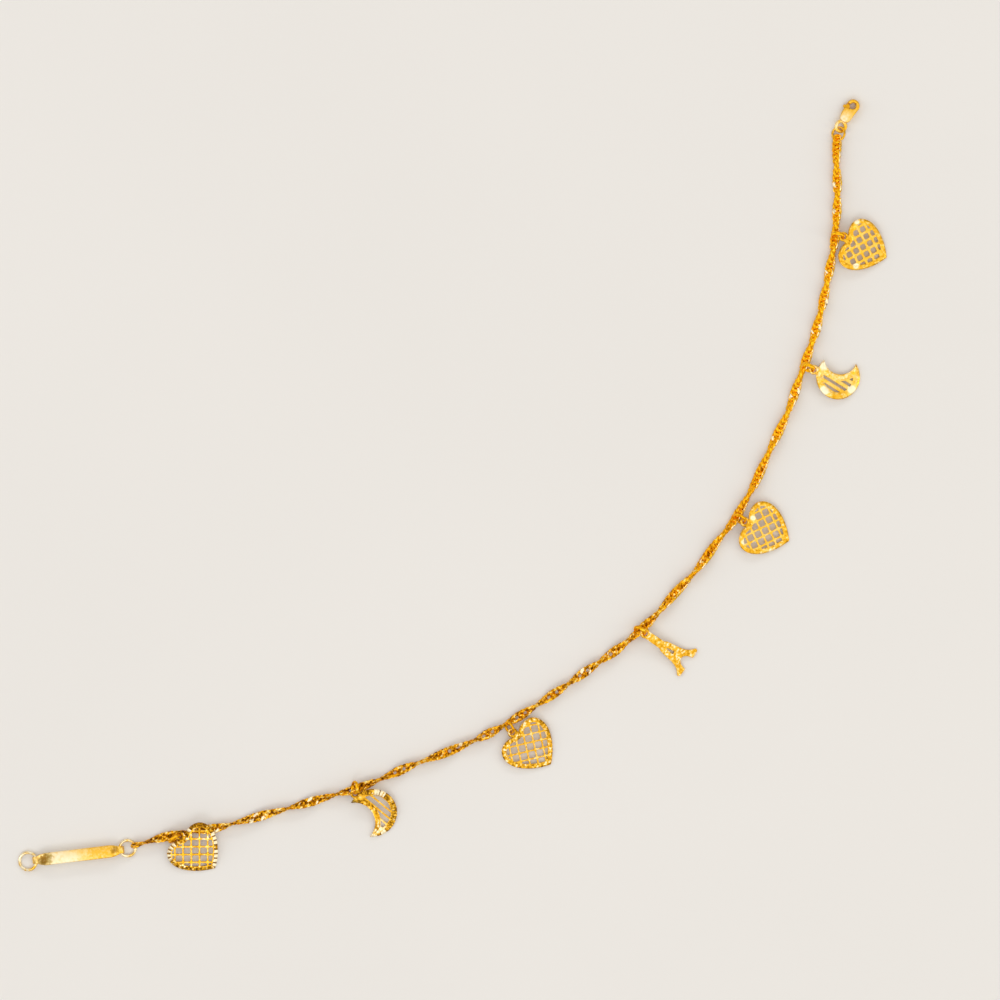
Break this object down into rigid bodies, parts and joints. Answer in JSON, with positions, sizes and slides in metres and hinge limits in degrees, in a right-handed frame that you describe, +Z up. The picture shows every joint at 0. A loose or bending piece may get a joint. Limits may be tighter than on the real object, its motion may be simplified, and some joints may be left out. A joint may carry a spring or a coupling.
{
  "type": "charm anklet",
  "caption": "Yellow gold chain anklet laid open: twisted chain with flat pierced heart, moon and tower charms, a polished bar with rings at one end and a lobster clasp at the other.",
  "frame": {"origin": "under the middle of the whole anklet's box, on the surface that it lies on", "axes": "+Z up from the surface, +X to the right and +Y away as the anklet lies: the bar's free end is at low X and low Y, the clasp at high X and high Y"},
  "size_m": [0.1824, 0.162, 0.004],
  "materials": {
    "gold": "polished and diamond-cut yellow gold"
  },
  "bodies": {
    "anklet": {"end_ring": "gold", "extender_bar": "gold", "bar_ring": "gold", "chain": "gold", "charm_ring_1": "gold", "charm_ring_2": "gold", "charm_ring_3": "gold", "charm_ring_4": "gold", "charm_ring_5": "gold", "charm_ring_6": "gold", "charm_ring_7": "gold", "heart_charm_1": "gold", "heart_charm_2": "gold", "heart_charm_3": "gold", "heart_charm_4": "gold", "moon_charm_1": "gold", "moon_charm_2": "gold", "tower_charm": "gold", "clasp_body": "gold", "chain_end_ring": "gold"},
    "lever": {"clasp_lever": "gold"}
  },
  "joints": [
    {"name": "lever_hinge", "type": "hinge", "parent": "anklet", "child": "lever", "pos_m": [0.08306, 0.07776, 0.00075], "axis": [0, 0, 1], "range_deg": [0, 30], "stiffness_Nm_per_rad": 0.0001}
  ]
}
